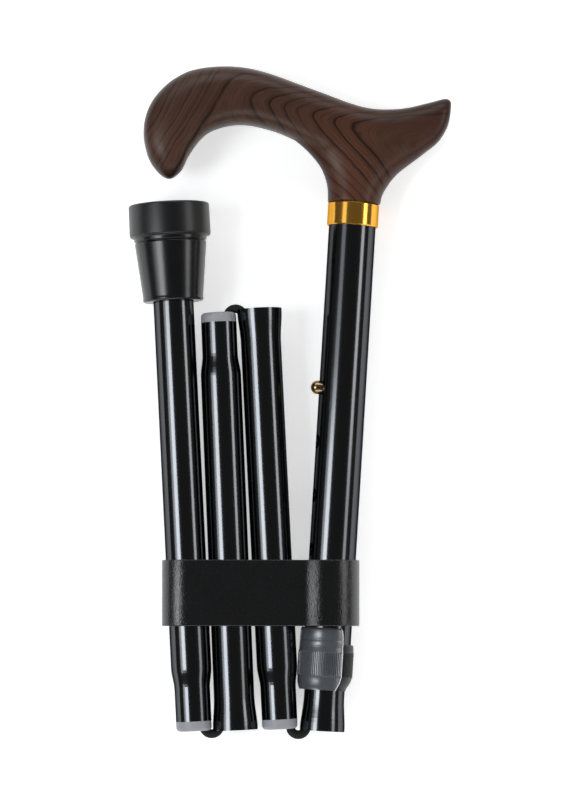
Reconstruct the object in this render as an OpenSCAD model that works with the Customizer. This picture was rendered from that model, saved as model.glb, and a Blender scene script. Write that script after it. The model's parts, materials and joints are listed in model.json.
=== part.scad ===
// Folding cane, folded and lying flat.
// +Y points to the handle, +X to the tail of the grip and +Z up from the surface it lies on.
// All tube axes lie in one fold plane, which is rolled a little so that the cane rests on its
// widest pieces: the rubber ferrule on the left and the collar on the right.
// Every piece is drawn in that fold plane and then laid down as one.

/* [Tubes] */
// Outer diameter of the folding tubes
tube_od = 19; // [18:0.5:20]
// Wall of the folding tubes
tube_wall = 1; // [0.8:0.1:1.2]
// Outer diameter of the upper tube
upper_od = 22.2; // [21.5:0.1:23]
// Wall of the upper tube
upper_wall = 1.2; // [1:0.1:1.2]
// Length of the inner tube below the upper tube at the shortest setting
inner_out = 34; // [32:0.5:44]
// Length of the second section, from its tip to its mouth
second_len = 197.5; // [190:0.1:202]
// Length of the third section, from its tip to its mouth
third_len = 195.9; // [190:0.1:202]

/* [Tube ends] */
// Outer diameter of a necked end
neck_od = 16.7; // [16.2:0.1:16.7]
// Straight length of a necked end
neck_len = 19.5; // [16:0.5:24]
// Length of the taper from neck to tube
taper_len = 10.5; // [8:0.5:20]
// Growth of the radius at a flared mouth
flare_step = 1.05; // [0.8:0.05:1.2]
// Length of a flared mouth
flare_len = 16; // [10:1:20]
// Height of an end cap
cap_h = 4.6; // [4:0.2:6]
// Rounding of an end cap
cap_round = 1.8; // [1.2:0.1:2.2]
// Length of an end cap's plug inside the neck
cap_plug_len = 6; // [4:1:10]
// Wall of an end cap's plug
cap_plug_wall = 1.2; // [0.8:0.1:1.4]

/* [Folded layout] */
// Distance from the ferrule's face up to the level of the grip's nose
nose_gap = 12.2; // [8:0.1:16]
// Lean of the upper tube, to the right
upper_lean = 3.49; // [3.2:0.1:3.8]
// Lean of the second section, to the left
second_lean = 2.86; // [2.7:0.1:3.1]
// Lean of the third section, to the left
third_lean = 2.4; // [2.2:0.1:2.6]
// Lean of the foot section, to the left
foot_lean = 2.87; // [2.7:0.1:3.2]
// Gap between a flared mouth and the tip folded beside it
fold_gap = 0.4; // [0.3:0.05:1]
// Height of the second section's tip above the mouth beside it
second_rise = 0.9; // [0.5:0.1:1.5]
// Depth of the third section's tip below the mouth beside it
third_drop = 1.9; // [1:0.1:2.5]
// Depth of the foot section's tip below the mouth beside it
foot_drop = 0.5; // [0.2:0.1:1.5]
// Gap between the ferrule and the level of the third section's tip
ferrule_clear = 3.7; // [2:0.1:6]

/* [Handle] */
// Thickness of the grip at the palm
palm_t = 27.6; // [24:0.2:28]
// Thickness of the grip above the stem
saddle_t = 23; // [20:0.2:23.4]
// Thickness of the tail of the grip
tail_t = 16.4; // [12:0.2:17]
// Thickness of the stem
stem_t = 23.4; // [22:0.2:23.6]
// Diameter of the dowel inside the handle
dowel_d = 14; // [10:0.5:16]
// Depth of the dowel in the handle
dowel_up = 26; // [20:1:34]
// Depth of the dowel in the upper tube
dowel_down = 30; // [20:1:50]
// Height of the collar
collar_h = 10.8; // [9:0.1:14]
// Wall of the collar
collar_wall = 0.95; // [0.8:0.05:1.2]

/* [Height lock] */
// Number of height holes
hole_count = 5; // [4:1:6]
// Distance from the upper tube's lower end to its lowest hole
hole_low = 25.1; // [20:0.1:30]
// Distance between height holes
hole_pitch = 25.4; // [22:0.1:26]
// Diameter of the snap button
button_d = 6.5; // [5:0.1:7]
// Height of the snap button above the upper tube
button_out = 4.5; // [3:0.1:5]
// Turn of the button towards the front
button_turn = 12; // [0:1:30]
// Distance from the inner tube's top end to the button
button_drop = 10; // [8:0.5:14]
// Diameter of the button's flange
button_flange_d = 8.8; // [8:0.1:9.4]
// Thickness of the button's flange
button_flange_t = 1; // [0.8:0.1:1.4]
// Thickness of the leaf spring
spring_t = 0.5; // [0.4:0.1:0.8]
// Width of the leaf spring
spring_w = 7; // [5:0.5:8]
// Length of the leaf spring's legs
spring_len = 28; // [20:1:32]
// Bend radius of the leaf spring
spring_bend = 3; // [2:0.25:3.5]
// Height of the lock nut
nut_h = 21.7; // [20:0.1:24]
// Length of the lock nut round the upper tube
nut_over = 6.8; // [6:0.1:9]
// Wall of the lock nut
nut_wall = 1.25; // [1:0.05:1.4]
// Thickness of the lip at the foot of the lock nut
nut_lip = 2.8; // [2:0.2:4]
// Thickness of the grip shell on the lock nut
shell_t = 0.7; // [0.5:0.05:0.8]
// Height of the grip shell, which stands above the lock nut
shell_h = 28.7; // [26:0.1:30]
// Middle of the grip shell, turned from the front to the left
shell_turn = 58; // [0:1:90]
// Wall of the clamping collet round the upper tube
collet_wall = 0.65; // [0.5:0.05:0.8]
// Length of the collet below the upper tube
collet_down = 9; // [7:0.5:10]
// Length of the collet round the upper tube
collet_up = 6; // [4:0.5:7]

/* [Ferrule] */
// Diameter of the foot flange
ferrule_d = 38; // [34:0.5:40]
// Height of the foot flange
flange_h = 16.1; // [12:0.1:18]
// Rounding of the flange
flange_round = 1.4; // [1:0.1:5]
// Diameter of the sleeve under the flange
sleeve_d = 33.8; // [30:0.2:34]
// Diameter of the sleeve's open end
sleeve_end_d = 27.6; // [26:0.2:30]
// Height of the ferrule
ferrule_h = 47.3; // [44:0.1:52]
// Thickness of rubber under the tube
sole_t = 9; // [7:0.5:11]
// Depth of the grooves in the sole
tread_depth = 1.5; // [1:0.25:2.5]
// Width of the grooves in the sole
tread_w = 2; // [1.5:0.25:3]
// Thickness of the steel washer
washer_t = 1.5; // [1:0.25:2]

/* [Cord] */
// Diameter of the elastic cord
cord_d = 3.2; // [3:0.1:3.4]
// Radius of the cord's bend at each fold
bend_r = 3.8; // [3.7:0.1:4.2]
// Height of the bend's centre inside the mouth
bend_rise = 1.3; // [0.8:0.1:1.3]
// Distance of the bend's centre outside the lip it goes round
bend_shift = 1.1; // [0.5:0.1:1.1]
// Length of the straight legs at both ends of a bend
bend_leg = 2; // [1:0.5:4]
// Length over which the cord comes back to a tube's axis
settle_len = 30; // [26:1:36]
// Length of a cord plug
plug_len = 10; // [8:1:14]
// Diameter of a knot
knot_d = 7.5; // [6:0.5:9]
// Gap between the leaf spring's bend and the cord's upper knot
knot_gap = 3; // [1:0.5:10]

/* [Holder band] */
// Height of the band
band_h = 30.9; // [28:0.1:34]
// Thickness of the band
band_t = 1.4; // [1:0.1:1.5]
// Gap between the band and the grip shell of the lock nut
band_nut_gap = 0.5; // [0.4:0.1:4]
// Gap between the band's round pocket and the upper tube
pocket_gap = 1.1; // [0.8:0.1:1.2]
// Distance of the pocket's centre in front of the upper tube's axis
pocket_front = 1; // [0.5:0.1:1]

/* [Fits] */
// Radial clearance of a piece fixed in a bore
seat_gap = 0.05; // [0.02:0.01:0.1]
// Radial clearance of a sliding piece
slide_gap = 0.05; // [0.02:0.01:0.1]
// Radial clearance of loose pieces
loose_gap = 0.3; // [0.25:0.05:0.4]
// Clearance of the button in its holes
button_gap = 0.1; // [0.05:0.01:0.2]
// Play of the cord in a hole
cord_play = 0.3; // [0.2:0.05:0.5]

/* [Hidden] */
$fn = 64;

// Radii of the tubes and of what surrounds them
tube_r = tube_od / 2;
tube_bore_r = tube_r - tube_wall;
upper_r = upper_od / 2;
upper_bore_r = upper_r - upper_wall;
neck_r = neck_od / 2;
neck_bore_r = neck_r - tube_wall;
flare_r = tube_r + flare_step;
collar_r = upper_r + seat_gap + collar_wall;
collet_r = upper_r + seat_gap + collet_wall;
nut_bore_r = collet_r + slide_gap;
nut_r = nut_bore_r + nut_wall;
ferrule_r = ferrule_d / 2;

// Outline of the grip seen from the front, measured from the foot of the stem
grip_top = [
    [-98.9, 34.2], [-98.5, 38.8], [-97, 44], [-94.6, 48.6], [-90.8, 53.4], [-85.5, 58.1],
    [-76.7, 62.7], [-60.2, 64.7], [-44.3, 62.6], [-17.5, 53.5], [5.5, 45.8], [21.9, 45.2],
    [36, 48.3], [45.3, 50.4]
];
grip_bottom = [
    [-98.9, 33.4], [-98.6, 28.6], [-96.4, 20.6], [-93, 15.4], [-90, 12.4], [-87, 11.2],
    [-83.6, 12.8], [-80.9, 15.7], [-79, 20.4], [-72.5, 29.9], [-65.9, 34.6], [-53.2, 37.2],
    [-39.1, 34.7], [-28.3, 30.5], [-15, 24], [0, 19.5], [15, 18.5], [28, 20.4],
    [34.7, 25.1], [40.2, 29.8], [43.6, 35.5], [45.3, 45]
];
grip_peak = max([for (p = grip_top) p[1]]);
nose_low = min([for (p = grip_bottom) p[1]]);
// Half of the grip's thickness along its length
grip_half = [
    [-98.9, palm_t * 0.07], [-98.5, palm_t * 0.19], [-97, palm_t * 0.28], [-94, palm_t * 0.35],
    [-88, palm_t * 0.42], [-70, palm_t * 0.48], [-45, palm_t / 2], [-20, (palm_t + saddle_t) / 4],
    [0, saddle_t / 2], [20, (saddle_t + tail_t) / 4], [36, tail_t / 2], [42, tail_t * 0.45],
    [45.3, tail_t * 0.28]
];
// Left and right edges of the stem over its height
stem_left = [
    [-3, -12.5], [4, -12.3], [8.6, -12.7], [12, -13.7], [15.7, -15.1], [20.4, -18.3], [25, -22.4], [30, -28]
];
stem_right = [
    [-3, 12.5], [4, 13.3], [8.6, 15.8], [12, 18.2], [15.7, 21.7], [20.4, 28], [25, 34], [30, 38]
];
// Fullness of the grip's section; 2 is an ellipse
grip_fullness = 2.5;
grip_stations = 44;
stem_stations = 10;
grip_sides = 32;

// Directions of the sections in the fold plane, clockwise from +Y, from tip to mouth
upper_dir = upper_lean;
second_dir = -second_lean;
third_dir = 180 - third_lean;
foot_dir = -foot_lean;
function heading(dir) = [sin(dir), cos(dir)];

// Tips and mouths of the sections, worked out from the foot of the handle
stem_foot = [0, 0];
bundle_h = second_rise + second_len * cos(second_lean) - third_drop + ferrule_clear + ferrule_h;
shaft_drop = (bundle_h + nose_gap - nose_low) / cos(upper_lean);
upper_len = shaft_drop - inner_out;
nut_rise = inner_out + nut_over - nut_h;
inner_mouth = stem_foot - shaft_drop * heading(upper_dir);
nut_reach = nut_r + neck_r + fold_gap - nut_rise * (sin(upper_lean) + sin(second_lean));
fold_step = flare_r + neck_r + fold_gap;
second_tip = inner_mouth + [-max(fold_step, nut_reach), second_rise];
second_mouth = second_tip + second_len * heading(second_dir);
third_tip = second_mouth + [-fold_step, -third_drop];
third_mouth = third_tip + third_len * heading(third_dir);
foot_tip = third_mouth + [-fold_step, -foot_drop];
foot_len = (third_tip[1] + ferrule_clear + ferrule_h - foot_tip[1]) / cos(foot_lean);
foot_face = foot_tip + foot_len * heading(foot_dir);
foot_tube_len = foot_len - sole_t - washer_t;

// Places along the upper tube's axis, from the inner tube's mouth
button_at = inner_out + hole_low + (hole_count - 1) * hole_pitch;
inner_len = button_at + button_drop;
plug_at = button_at - spring_len - spring_bend - spring_t - knot_gap - knot_d - plug_len;
button_tip_r = upper_r + button_out;
button_flange_r = sqrt(pow(tube_bore_r, 2) - pow(button_flange_d / 2, 2)) - button_gap;
button_foot_r = button_flange_r - button_flange_t;

// Roll of the fold plane and height of its origin: the flange and the collar touch the surface
flange_low_x = foot_face[0] + flange_h * sin(foot_lean);
collar_low_x = stem_foot[0];
roll = asin((ferrule_r - collar_r) / (collar_low_x - flange_low_x));
lift = ferrule_r + flange_low_x * sin(roll);

// Middle of the folded cane, which goes to the origin
tail_x = stem_foot[0] + grip_top[len(grip_top) - 1][0];
left_x = foot_face[0] * cos(roll) - ferrule_r;
right_x = tail_x * cos(roll) + tail_t / 4 * sin(roll);
top_y = stem_foot[1] + grip_peak;
low_y = inner_mouth[1] + bend_rise - bend_r - cord_d / 2;
middle = [(left_x + right_x) / 2, (top_y + low_y) / 2];

// Smooth curve through a list of points, as a function of their first value
function slope(pts, i) =
    let (a = max(i - 1, 0), b = min(i + 1, len(pts) - 1))
    (pts[b][1] - pts[a][1]) / (pts[b][0] - pts[a][0]);
function span_of(pts, x, i = 0) =
    i >= len(pts) - 2 || x <= pts[i + 1][0] ? i : span_of(pts, x, i + 1);
function curve(pts, x) =
    let (
        i = span_of(pts, x),
        w = pts[i + 1][0] - pts[i][0],
        t = (x - pts[i][0]) / w,
        h01 = t * t * (3 - 2 * t),
        h10 = t * (1 - t) * (1 - t),
        h11 = t * t * (t - 1)
    )
    pts[i][1] * (1 - h01) + pts[i + 1][1] * h01 + w * (slope(pts, i) * h10 + slope(pts, i + 1) * h11);

// Rounded step from one radius to another, for necks and flares
function s_step(t) = (1 - cos(180 * t)) / 2;
step_points = 8;
function s_taper(r0, r1, z0, z1) = [
    for (i = [0 : step_points]) [r0 + (r1 - r0) * s_step(i / step_points), z0 + (z1 - z0) * i / step_points]
];
function reversed(pts) = [for (i = [len(pts) - 1 : -1 : 0]) pts[i]];
function shifted(pts, dr) = [for (p = pts) [p[0] + dr, p[1]]];

// Solid through a list of rings that all have the same number of points
function ring_faces(rings, sides) = concat(
    [[for (j = [sides - 1 : -1 : 0]) j]],
    [for (i = [0 : rings - 2]) for (j = [0 : sides - 1]) each
        let (a = i * sides + j, b = i * sides + (j + 1) % sides)
        [[a, b, a + sides], [b, b + sides, a + sides]]],
    [[for (j = [0 : sides - 1]) (rings - 1) * sides + j]]
);
module through_rings(rings) {
    sides = len(rings[0]);
    polyhedron([for (ring = rings) each ring], ring_faces(len(rings), sides));
}

// Lays pieces of the fold plane on the surface
module lay() {
    translate([-middle[0], -middle[1], lift]) rotate([0, roll, 0]) children();
}
// Places a piece drawn along +Z on a line of the fold plane; its -Y side faces the front
module along(start, dir) {
    lay() translate([start[0], start[1], 0]) rotate([0, 0, -dir]) rotate([-90, 0, 0]) children();
}
// Turns a piece drawn along +X to the button's side
module to_button() {
    rotate([0, 0, 180 + button_turn]) children();
}
module ring(outer, inner, h) {
    difference() {
        cylinder(r = outer, h = h);
        translate([0, 0, -1]) cylinder(r = inner, h = h + 2);
    }
}

function fuller(v) = sign(v) * pow(abs(v), 2 / grip_fullness);
// Wooden grip with its nose at the left and its tail at the right
module grip() {
    first = grip_top[0][0];
    last = tail_x - stem_foot[0];
    through_rings([for (i = [0 : grip_stations]) let (
            x = first + (last - first) * s_step(i / grip_stations),
            top = curve(grip_top, x),
            bottom = curve(grip_bottom, x),
            half = curve(grip_half, x)
        ) [for (j = [0 : grip_sides - 1]) let (a = -360 * j / grip_sides)
            [x, (top + bottom) / 2 + (top - bottom) / 2 * fuller(cos(a)), half * fuller(sin(a))]]]);
}
module stem() {
    first = stem_left[0][0];
    last = stem_left[len(stem_left) - 1][0];
    through_rings([for (i = [0 : stem_stations]) let (
            y = first + (last - first) * i / stem_stations,
            left = curve(stem_left, y),
            right = curve(stem_right, y)
        ) [for (j = [0 : grip_sides - 1]) let (a = 360 * j / grip_sides)
            [(left + right) / 2 + (right - left) / 2 * cos(a), y, stem_t / 2 * sin(a)]]]);
}
module handle() {
    color("#4a2d20") difference() {
        lay() translate([stem_foot[0], stem_foot[1], 0]) union() {
            grip();
            stem();
        }
        along(stem_foot, upper_dir) {
            translate([0, 0, -20]) cylinder(r = 3 * upper_r, h = 20);
            translate([0, 0, -1]) cylinder(d = dowel_d + 2 * seat_gap, h = dowel_up + 2);
        }
    }
}
module handle_dowel() {
    color("#caa472") along(stem_foot, upper_dir) {
        cylinder(d = dowel_d, h = dowel_up);
        translate([0, 0, -dowel_down]) cylinder(r = upper_bore_r - seat_gap, h = dowel_down);
    }
}
module collar() {
    edge = collar_wall / 2;
    bore = upper_r + seat_gap;
    color("#c8a14a") along(stem_foot, upper_dir) rotate_extrude() polygon([
        [bore, -collar_h], [collar_r - edge, -collar_h], [collar_r, edge - collar_h],
        [collar_r, -edge], [collar_r - edge, 0], [bore, 0]
    ]);
}
module upper_tube() {
    color("#161618") along(inner_mouth, upper_dir) difference() {
        translate([0, 0, inner_out]) ring(upper_r, upper_bore_r, upper_len);
        for (i = [0 : hole_count - 1]) translate([0, 0, button_at - i * hole_pitch]) to_button()
            rotate([0, 90, 0]) cylinder(d = button_d + 2 * button_gap, h = button_tip_r);
    }
}

// Collet fixed to the end of the upper tube, which the nut squeezes onto the inner tube
module lock_collet() {
    color("#2a2a2c") along(inner_mouth, upper_dir) translate([0, 0, inner_out]) difference() {
        translate([0, 0, -collet_down]) ring(collet_r, tube_r + slide_gap, collet_down + collet_up);
        cylinder(r = upper_r + seat_gap, h = collet_up + 1);
    }
}
// Outside of the nut: a raised grip band between two narrower ends
module nut_body(top) {
    step = 0.3;
    chamfer = 1.2;
    low = nut_h * 0.28;
    high = nut_h * 0.87;
    rotate_extrude() polygon([
        [tube_r + loose_gap, 0], [nut_r - step - chamfer, 0], [nut_r - step, chamfer],
        [nut_r - step, low - step], [nut_r, low], [nut_r, high], [nut_r - step, high + step],
        [nut_r - step, top - step], [nut_r - 2 * step, top], [nut_bore_r, top],
        [nut_bore_r, nut_lip], [tube_r + loose_gap, nut_lip]
    ]);
}
// Half of the space outside the nut's core, where the grip shell lies
module shell_space(core_r, inset) {
    rotate([0, 0, -90 - shell_turn]) difference() {
        translate([inset, -nut_r - 1, -1]) cube([nut_r + 1, 2 * nut_r + 2, shell_h + 2]);
        translate([0, 0, -2]) cylinder(r = core_r, h = shell_h + 4);
    }
}
module lock_nut() {
    color("#232325") along(inner_mouth, upper_dir) translate([0, 0, nut_rise]) difference() {
        nut_body(nut_h);
        shell_space(nut_r - shell_t - seat_gap, 0);
    }
}
module nut_grip_shell() {
    color("#77787a") along(inner_mouth, upper_dir) translate([0, 0, nut_rise]) intersection() {
        nut_body(shell_h);
        shell_space(nut_r - shell_t, seat_gap);
    }
}

// Inner tube, drawn from its flared mouth up
module inner_tube() {
    wall = concat(s_taper(flare_r, tube_r, 0, flare_len), [[tube_r, inner_len]]);
    color("#161618") along(inner_mouth, upper_dir) difference() {
        rotate_extrude() polygon(concat(wall, reversed(shifted(wall, -tube_wall))));
        translate([0, 0, button_at]) to_button() rotate([0, 90, 0])
            cylinder(d = button_d + 2 * slide_gap, h = button_tip_r);
    }
}
// Plug that closes the inner tube's top end and guides it in the upper tube
module inner_end_plug() {
    rim = 2;
    color("#2a2a2c") along(inner_mouth, upper_dir) translate([0, 0, inner_len]) {
        cylinder(r = upper_bore_r - slide_gap, h = rim);
        translate([0, 0, -rim]) cylinder(r = tube_bore_r - seat_gap, h = rim);
    }
}
// Leaf spring bent to a V: one leg carries the button, the other lies on the far wall
module button_spring() {
    far_r = sqrt(pow(tube_bore_r, 2) - pow(spring_w / 2, 2)) - seat_gap - spring_t / 2;
    leg_x = button_foot_r - spring_t / 2;
    bend = [for (a = [0 : -15 : -180]) spring_bend * [cos(a), sin(a)] - [0, spring_len]];
    line = concat([[leg_x, button_d / 2], [leg_x, -button_d / 2]], bend, [[-far_r, 0]]);
    color("#b8bcc0") along(inner_mouth, upper_dir) translate([0, 0, button_at]) to_button()
        rotate([90, 0, 0]) linear_extrude(spring_w, center = true) polygon(strip(line, spring_t / 2));
}
// Outline of a strip of even thickness along a line of points
function unit(v) = v / norm(v);
function turn_left(v) = [-v[1], v[0]];
function direction_at(pts, i) =
    let (a = max(i - 1, 0), b = min(i + 1, len(pts) - 1))
    unit((i > a ? unit(pts[i] - pts[a]) : [0, 0]) + (b > i ? unit(pts[b] - pts[i]) : [0, 0]));
function strip(pts, half) = concat(
    [for (i = [0 : len(pts) - 1]) pts[i] + half * turn_left(direction_at(pts, i))],
    [for (i = [len(pts) - 1 : -1 : 0]) pts[i] - half * turn_left(direction_at(pts, i))]
);
module snap_button() {
    dome = button_d / 2;
    color("#c8a14a") along(inner_mouth, upper_dir) translate([0, 0, button_at]) to_button()
        rotate([0, 90, 0]) {
            translate([0, 0, button_foot_r]) cylinder(d = button_flange_d, h = button_flange_t);
            translate([0, 0, button_foot_r]) cylinder(d = button_d, h = button_tip_r - dome - button_foot_r);
            translate([0, 0, button_tip_r - dome]) intersection() {
                sphere(r = dome);
                cylinder(r = 2 * dome, h = 2 * dome);
            }
        }
}

// Section tube from its necked tip to a flared mouth
module section_tube(length) {
    wall = concat(
        [[neck_r, cap_h]],
        s_taper(neck_r, tube_r, neck_len, neck_len + taper_len),
        s_taper(tube_r, flare_r, length - flare_len, length)
    );
    color("#161618") rotate_extrude() polygon(concat(wall, reversed(shifted(wall, -tube_wall))));
}
// Cap on a necked tip, notched on the side where the cord leaves it
module end_cap() {
    plug_r = neck_bore_r - seat_gap;
    bore_r = plug_r - cap_plug_wall;
    notch = cord_d + 2 * cord_play;
    round_points = 6;
    edge = [for (i = [0 : round_points]) let (a = 90 * i / round_points)
        [neck_r - cap_round + cap_round * sin(a), cap_round - cap_round * cos(a)]];
    color("#8d8f92") difference() {
        rotate_extrude() polygon(concat(
            [[bore_r, 0]], edge,
            [[neck_r, cap_h], [plug_r, cap_h], [plug_r, cap_h + cap_plug_len], [bore_r, cap_h + cap_plug_len]]
        ));
        translate([0, -notch / 2, -1]) cube([2 * neck_r, notch, cap_h + cap_plug_len + 2]);
    }
}
module second_tube() {
    along(second_tip, second_dir) section_tube(second_len);
}
module second_cap() {
    along(second_tip, second_dir) end_cap();
}
module third_tube() {
    along(third_tip, third_dir) section_tube(third_len);
}
module third_cap() {
    along(third_tip, third_dir) mirror([1, 0, 0]) end_cap();
}
module foot_tube() {
    wall = concat(
        [[neck_r, cap_h]],
        s_taper(neck_r, tube_r, neck_len, neck_len + taper_len),
        [[tube_r, foot_tube_len]]
    );
    color("#161618") along(foot_tip, foot_dir) rotate_extrude()
        polygon(concat(wall, reversed(shifted(wall, -tube_wall))));
}
module foot_cap() {
    along(foot_tip, foot_dir) end_cap();
}

// Rubber foot, drawn from the face that stands on the ground
module ferrule() {
    round_points = 6;
    lip = 1;
    groove = 0.6;
    edge = [for (i = [0 : round_points]) let (a = 90 * i / round_points)
        [ferrule_r - flange_round + flange_round * sin(a), flange_round - flange_round * cos(a)]];
    bore_r = tube_r + seat_gap;
    tread = [bore_r, 0.6 * bore_r];
    color("#1d1d1e") along(foot_face, foot_dir + 180) difference() {
        rotate_extrude() polygon(concat(
            [[0, 0]], edge,
            [[ferrule_r, flange_h - lip], [ferrule_r - lip, flange_h], [sleeve_d / 2, flange_h],
                [sleeve_d / 2, flange_h + lip], [sleeve_d / 2 - groove, flange_h + lip],
                [sleeve_d / 2 - groove, flange_h + lip + groove],
                [sleeve_end_d / 2 + groove, ferrule_h - groove],
                [sleeve_end_d / 2, ferrule_h], [bore_r, ferrule_h], [bore_r, sole_t], [0, sole_t]]
        ));
        for (r = tread) translate([0, 0, -1]) ring(r + tread_w, r, 1 + tread_depth);
    }
}
module ferrule_washer() {
    color("#b8bcc0") along(foot_face, foot_dir + 180) translate([0, 0, sole_t])
        cylinder(r = tube_r, h = washer_t);
}

// Route of the elastic cord in the fold plane, from its upper knot to its knot in the foot section
cord_sides = 8;
bend_steps = 8;
foot_plug_at = neck_len + taper_len + 1;
function at(start, dir, z) = start + z * heading(dir);
// Bend round the lip of a mouth; side is 1 where the cord comes out below the tubes
function bend_points(mouth, side) =
    let (centre = mouth + [tube_wall / 2 - flare_r - bend_shift, side * bend_rise])
    concat(
        [centre + [bend_r, side * bend_leg]],
        [for (i = [0 : bend_steps]) let (a = 180 * i / bend_steps)
            centre + bend_r * [cos(a), -side * sin(a)]],
        [centre + [-bend_r, side * bend_leg]]
    );
settle_1 = at(inner_mouth, upper_dir, settle_len);
settle_2 = at(second_tip, second_dir, settle_len);
settle_3 = at(second_mouth, second_dir, -settle_len);
settle_4 = at(third_tip, third_dir, settle_len);
settle_5 = at(third_mouth, third_dir, -settle_len);
settle_6 = at(foot_tip, foot_dir, settle_len);
loop_1 = bend_points(inner_mouth, 1);
loop_2 = bend_points(second_mouth, -1);
loop_3 = bend_points(third_mouth, 1);
cord_start = at(inner_mouth, upper_dir, plug_at + plug_len + knot_d / 2);
cord_end = at(foot_tip, foot_dir, foot_plug_at + plug_len + knot_d / 2);
cord_route = concat(
    [cord_start, settle_1], loop_1, [settle_2, settle_3], loop_2,
    [settle_4, settle_5], loop_3, [settle_6, cord_end]
);
// Stretch of the cord between two points of its route
module cord_stretch(first, last) {
    lay() through_rings([for (i = [first : last]) let (
            p = cord_route[i],
            side = turn_left(direction_at(cord_route, i))
        ) [for (j = [0 : cord_sides - 1]) let (a = 360 * (j + 0.5) / cord_sides, s = cord_d / 2 * cos(a))
            [p[0] + s * side[0], p[1] + s * side[1], -cord_d / 2 * sin(a)]]]);
}
bend_from = [2, 2 + len(loop_1) + 2, 2 + 2 * (len(loop_1) + 2)];
bend_to = [for (i = bend_from) i + len(loop_1) - 1];
cord_black = "#1b1b1c";
module knot(start, dir, z) {
    along(start, dir) translate([0, 0, z + knot_d / 2]) sphere(d = knot_d);
}
module cord_run_1() {
    color(cord_black) {
        cord_stretch(0, bend_from[0]);
        knot(inner_mouth, upper_dir, plug_at + plug_len);
    }
}
module cord_loop_1() {
    color(cord_black) cord_stretch(bend_from[0], bend_to[0]);
}
module cord_run_2() {
    color(cord_black) cord_stretch(bend_to[0], bend_from[1]);
}
module cord_loop_2() {
    color(cord_black) cord_stretch(bend_from[1], bend_to[1]);
}
module cord_run_3() {
    color(cord_black) cord_stretch(bend_to[1], bend_from[2]);
}
module cord_loop_3() {
    color(cord_black) cord_stretch(bend_from[2], bend_to[2]);
}
module cord_run_4() {
    color(cord_black) {
        cord_stretch(bend_to[2], len(cord_route) - 1);
        knot(foot_tip, foot_dir, foot_plug_at + plug_len);
    }
}
// Plug that holds a knotted end of the cord in a tube
module cord_plug() {
    color("#8d8f92") ring(tube_bore_r - seat_gap, cord_d / 2 + cord_play, plug_len);
}
module upper_cord_plug() {
    along(inner_mouth, upper_dir) translate([0, 0, plug_at]) cord_plug();
}
module foot_cord_plug() {
    along(foot_tip, foot_dir) translate([0, 0, foot_plug_at]) cord_plug();
}

// Stretch band round all the tubes, pulled tight on the outer two
band_low = inner_mouth[1] + (nut_rise + shell_h) * cos(upper_lean) + nut_r * sin(upper_lean) + band_nut_gap;
band_left = foot_tip[0] - (band_low + band_h - foot_tip[1]) * tan(foot_lean);
band_right = inner_mouth[0] + (band_low + band_h - inner_mouth[1]) * tan(upper_lean);
band_left_r = tube_r / cos(foot_lean) + loose_gap;
band_right_r = upper_r / cos(upper_lean) + loose_gap;
band_slant = asin((band_right_r - band_left_r) / (band_right - band_left));
arc_points = 20;
function arc(centre_x, r, from, to) = [
    for (i = [0 : arc_points]) let (a = from + (to - from) * i / arc_points)
        [centre_x + r * cos(a), r * sin(a)]
];
function band_outline(grow) = concat(
    arc(band_right, band_right_r + grow, -90 - band_slant, 90 + band_slant),
    arc(band_left, band_left_r + grow, 90 + band_slant, 270 - band_slant)
);
// Outline of the band with its round pocket, which stands proud of the front
pocket_x = inner_mouth[0] + (band_low + band_h / 2 - inner_mouth[1]) * tan(upper_lean);
module band_shape(grow) {
    polygon(band_outline(grow));
    translate([pocket_x, -pocket_front]) circle(r = upper_r + pocket_gap + grow);
}
module holder_band() {
    color("#202021") lay() translate([0, band_low, 0]) rotate([-90, 0, 0])
        linear_extrude(band_h) difference() {
            band_shape(band_t);
            band_shape(0);
        }
}

handle();
handle_dowel();
collar();
upper_tube();
lock_collet();
lock_nut();
nut_grip_shell();
holder_band();
inner_tube();
inner_end_plug();
button_spring();
snap_button();
upper_cord_plug();
cord_run_1();
cord_loop_1();
second_tube();
second_cap();
cord_run_2();
cord_loop_2();
third_tube();
third_cap();
cord_run_3();
cord_loop_3();
foot_tube();
foot_cap();
cord_run_4();
foot_cord_plug();
ferrule_washer();
ferrule();
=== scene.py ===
"""Looks of a folding cane that lies folded on a pale floor, seen from almost straight above."""
import json
import math
import bmesh
import bpy
from mathutils import Matrix, Vector


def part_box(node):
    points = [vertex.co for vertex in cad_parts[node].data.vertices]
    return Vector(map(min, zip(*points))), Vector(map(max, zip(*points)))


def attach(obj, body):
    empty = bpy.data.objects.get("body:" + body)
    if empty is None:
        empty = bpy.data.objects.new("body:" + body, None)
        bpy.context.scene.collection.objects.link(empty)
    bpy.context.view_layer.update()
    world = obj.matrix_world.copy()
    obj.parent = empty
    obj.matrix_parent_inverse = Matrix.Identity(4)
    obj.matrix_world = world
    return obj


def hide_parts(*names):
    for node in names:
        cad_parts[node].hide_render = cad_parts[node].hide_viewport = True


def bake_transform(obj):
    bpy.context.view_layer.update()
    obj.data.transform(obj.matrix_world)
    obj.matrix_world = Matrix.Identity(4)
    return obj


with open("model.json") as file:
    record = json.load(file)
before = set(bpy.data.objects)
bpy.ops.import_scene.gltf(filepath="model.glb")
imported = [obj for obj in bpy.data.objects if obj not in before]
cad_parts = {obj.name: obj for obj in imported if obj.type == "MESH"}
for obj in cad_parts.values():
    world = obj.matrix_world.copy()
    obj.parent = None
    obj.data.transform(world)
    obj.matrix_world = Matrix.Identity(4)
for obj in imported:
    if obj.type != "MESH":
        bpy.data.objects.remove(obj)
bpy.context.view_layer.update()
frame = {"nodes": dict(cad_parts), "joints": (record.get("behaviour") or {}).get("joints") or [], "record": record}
nodes = frame["nodes"]
joints = {j["name"]: j for j in frame["joints"]}
mounts = {m["name"]: m for m in frame["record"]["mounts"]}

MM = 0.001

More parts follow.
